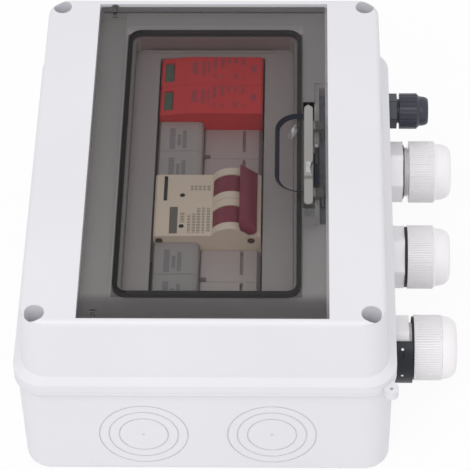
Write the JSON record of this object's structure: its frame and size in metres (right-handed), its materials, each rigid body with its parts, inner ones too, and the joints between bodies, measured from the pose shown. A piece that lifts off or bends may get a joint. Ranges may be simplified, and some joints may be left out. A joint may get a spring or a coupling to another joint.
{
  "type": "photovoltaic combiner box",
  "caption": "Sealed plastic junction box with a hinged smoked window over rail-mounted fuse holders, breaker and surge arrester, and cable glands along one side.",
  "frame": {"origin": "centre of the flat back face", "axes": "+Z out through the lid, +Y along the rail towards the surge arrester, +X towards the cable glands"},
  "size_m": [0.185, 0.2028, 0.092],
  "materials": {
    "enclosure_plastic": "light grey moulded ABS, fine satin",
    "seal_foam": "soft black sealing cord",
    "screw_steel": "zinc plated steel",
    "panel_plastic": "light grey moulded panel",
    "smoked_window": "smoked transparent polycarbonate, polished",
    "gasket_rubber": "black door gasket",
    "pin_steel": "bright steel pin",
    "latch_metal": "satin nickel",
    "spring_steel": "spring steel",
    "rail_steel": "galvanised steel rail",
    "breaker_plastic": "cream moulded housing",
    "toggle_plastic": "dark red handle",
    "clip_plastic": "black sliding foot",
    "fuse_plastic": "light grey fuse holder",
    "carrier_plastic": "warm grey fuse carrier",
    "fuse_ceramic": "ceramic fuse link with end caps",
    "spd_plastic": "grey arrester socket",
    "cartridge_plastic": "red plug-in cartridge",
    "terminal_metal": "terminal screws",
    "gland_white": "white nylon gland",
    "gland_black": "black nylon gland",
    "gland_rubber": "black sealing rubber",
    "band_black": "black snap band"
  },
  "bodies": {
    "enclosure": {"base_box": "enclosure_plastic", "lid_cover": "enclosure_plastic", "lid_seal": "seal_foam", "lid_screws": "screw_steel", "inner_panel": "panel_plastic", "din_rail": "rail_steel", "rail_screws": "screw_steel", "hinge_pins": "pin_steel", "breaker_housing": "breaker_plastic", "breaker_clip": "clip_plastic", "fuse_links": "fuse_ceramic", "spd_base": "spd_plastic", "spd_clip": "clip_plastic", "spd_cartridge_1": "cartridge_plastic", "spd_cartridge_2": "cartridge_plastic", "terminal_screws": "terminal_metal", "gland_washers": "gland_rubber", "gland_locknuts": "gland_white", "gland_band": "band_black", "fuse_holder_1": "fuse_plastic", "fuse_carrier_1": "carrier_plastic", "fuse_clip_1": "clip_plastic", "fuse_holder_2": "fuse_plastic", "fuse_carrier_2": "carrier_plastic", "fuse_clip_2": "clip_plastic", "fuse_holder_3": "fuse_plastic", "fuse_carrier_3": "carrier_plastic", "fuse_clip_3": "clip_plastic", "fuse_holder_4": "fuse_plastic", "fuse_carrier_4": "carrier_plastic", "fuse_clip_4": "clip_plastic", "white_gland_1_body": "gland_white", "white_gland_1_insert": "gland_rubber", "white_gland_2_body": "gland_white", "white_gland_2_insert": "gland_rubber", "white_gland_3_body": "gland_white", "white_gland_3_insert": "gland_rubber", "black_gland_body": "gland_black", "black_gland_insert": "gland_rubber"},
    "door": {"door_window": "smoked_window", "door_gasket": "gasket_rubber", "latch_pin": "pin_steel", "latch_spring": "spring_steel"},
    "latch": {"latch_lever": "latch_metal"},
    "breaker_handle": {"breaker_toggle": "toggle_plastic"},
    "white_gland_1_cap": {"white_gland_1_nut": "gland_white"},
    "white_gland_2_cap": {"white_gland_2_nut": "gland_white"},
    "white_gland_3_cap": {"white_gland_3_nut": "gland_white"},
    "black_gland_cap": {"black_gland_nut": "gland_black"}
  },
  "joints": [
    {"name": "door_hinge", "type": "hinge", "parent": "enclosure", "child": "door", "pos_m": [-0.044, 0, 0.09], "axis": [0, -1, 0], "range_deg": [0, 110]},
    {"name": "latch_press", "type": "hinge", "parent": "door", "child": "latch", "pos_m": [0.042, 0, 0.0866], "axis": [0, 1, 0], "range_deg": [0, 7], "stiffness_Nm_per_rad": 0.05, "springref_deg": -5.73},
    {"name": "breaker_switch", "type": "hinge", "parent": "enclosure", "child": "breaker_handle", "pos_m": [0.0098, -0.0199, 0.075], "axis": [0, -1, 0], "range_deg": [0, 76]},
    {"name": "white_gland_1_turn", "type": "hinge", "parent": "enclosure", "child": "white_gland_1_cap", "pos_m": [0.095, 0.0526, 0.027], "axis": [1, 0, 0], "continuous": true},
    {"name": "white_gland_2_turn", "type": "hinge", "parent": "enclosure", "child": "white_gland_2_cap", "pos_m": [0.095, 0, 0.027], "axis": [1, 0, 0], "continuous": true},
    {"name": "white_gland_3_turn", "type": "hinge", "parent": "enclosure", "child": "white_gland_3_cap", "pos_m": [0.095, -0.0526, 0.027], "axis": [1, 0, 0], "continuous": true},
    {"name": "black_gland_turn", "type": "hinge", "parent": "enclosure", "child": "black_gland_cap", "pos_m": [0.088, 0.0767, 0.042], "axis": [1, 0, 0], "continuous": true}
  ]
}
